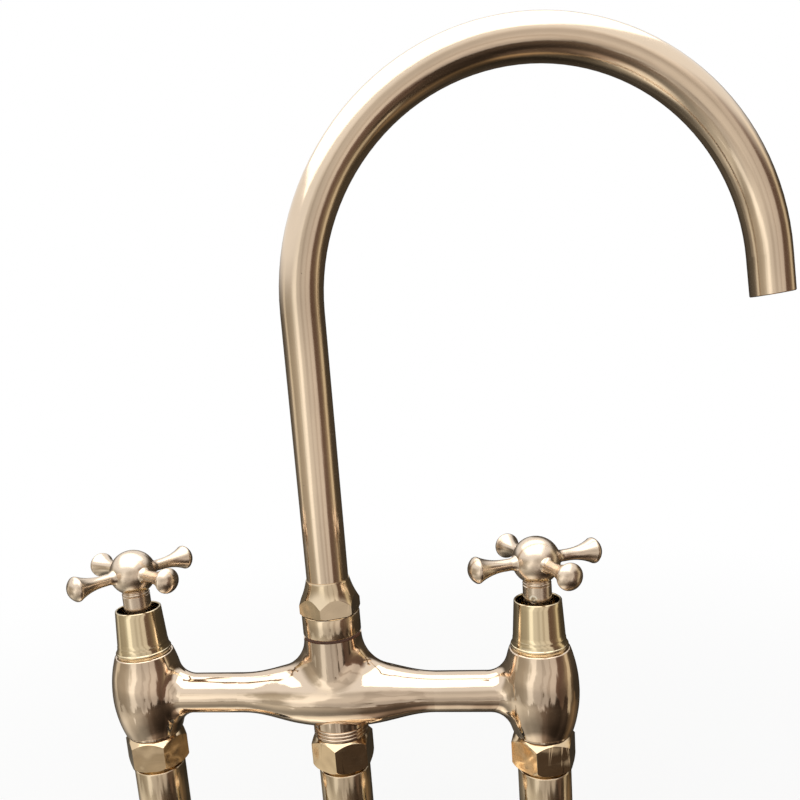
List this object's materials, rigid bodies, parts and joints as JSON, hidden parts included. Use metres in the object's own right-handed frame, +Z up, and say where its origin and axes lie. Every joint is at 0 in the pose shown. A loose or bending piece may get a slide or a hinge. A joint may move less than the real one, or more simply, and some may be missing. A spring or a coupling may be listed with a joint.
{
  "type": "bridge kitchen faucet",
  "caption": "Deck-mounted bridge kitchen faucet in polished brass, with cross handles and a tall swivelling gooseneck spout.",
  "frame": {"origin": "on the deck's top plane, on the spout's swivel axis, at the middle of the three legs", "axes": "+Z up along the swivel axis, +X along the bridge towards the cold valve, +Y towards the wall. At rest both valves are closed and the spout is turned 11 degrees from +X towards the wall."},
  "size_m": [0.3618, 0.0882, 0.4568],
  "materials": {
    "bridge_brass": "polished brass with a warm, slightly pink tone",
    "nut_brass": "polished brass, a little deeper",
    "leg_brass": "polished brass",
    "shroud_brass": "polished brass with fine turning marks",
    "handle_brass": "satin brass",
    "spout_brass": "polished brass with hairline marks",
    "machined_brass": "machined, uncoated brass",
    "ceramic": "lapped ceramic",
    "rubber": "black rubber",
    "fibre": "red vulcanised fibre",
    "acetal": "natural acetal",
    "aerator_plastic": "moulded grey plastic",
    "stainless": "stainless steel"
  },
  "bodies": {
    "base": {"backnuts": "machined_brass", "bonnet_seals": "rubber", "bridge_body": "bridge_brass", "centre_leg_flange": "leg_brass", "centre_leg_nut": "nut_brass", "centre_leg_tube": "leg_brass", "centre_shank": "machined_brass", "centre_union_tail": "machined_brass", "cold_bonnet": "machined_brass", "cold_disc_seal": "rubber", "cold_fixed_disc": "ceramic", "cold_leg_flange": "leg_brass", "cold_leg_nut": "nut_brass", "cold_leg_tube": "leg_brass", "cold_shank": "machined_brass", "cold_shroud": "shroud_brass", "cold_union_tail": "machined_brass", "deck_pads": "rubber", "deck_washers": "stainless", "flange_gaskets": "rubber", "hot_bonnet": "machined_brass", "hot_disc_seal": "rubber", "hot_fixed_disc": "ceramic", "hot_leg_flange": "leg_brass", "hot_leg_nut": "nut_brass", "hot_leg_tube": "leg_brass", "hot_shank": "machined_brass", "hot_shroud": "shroud_brass", "hot_union_tail": "machined_brass", "socket_washer": "fibre", "spout_cap_nut": "nut_brass", "spout_socket": "nut_brass", "thrust_washer": "acetal", "union_washers": "fibre"},
    "hot_handle": {"hot_turning_disc": "ceramic", "hot_spindle": "machined_brass", "hot_spindle_seal": "rubber", "hot_spindle_clip": "stainless", "hot_handle_hub": "handle_brass", "hot_handle_arms": "handle_brass", "hot_grub_screw": "stainless"},
    "cold_handle": {"cold_turning_disc": "ceramic", "cold_spindle": "machined_brass", "cold_spindle_seal": "rubber", "cold_spindle_clip": "stainless", "cold_handle_hub": "handle_brass", "cold_handle_arms": "handle_brass", "cold_grub_screw": "stainless"},
    "spout": {"spout_stem": "machined_brass", "spout_o_rings": "rubber", "spout_tube": "spout_brass", "spout_nozzle": "spout_brass", "aerator_seal": "rubber", "aerator_housing": "aerator_plastic", "aerator_insert": "aerator_plastic"}
  },
  "joints": [
    {"name": "spout_swivel", "type": "hinge", "parent": "base", "child": "spout", "pos_m": [0, 0, 0.125], "axis": [0, 0, 1], "continuous": true},
    {"name": "hot_handle_turn", "type": "hinge", "parent": "base", "child": "hot_handle", "pos_m": [-0.1016, 0, 0.125], "axis": [0, 0, 1], "range_deg": [0, 90]},
    {"name": "cold_handle_turn", "type": "hinge", "parent": "base", "child": "cold_handle", "pos_m": [0.1016, 0, 0.125], "axis": [0, 0, 1], "range_deg": [-90, 0]}
  ]
}
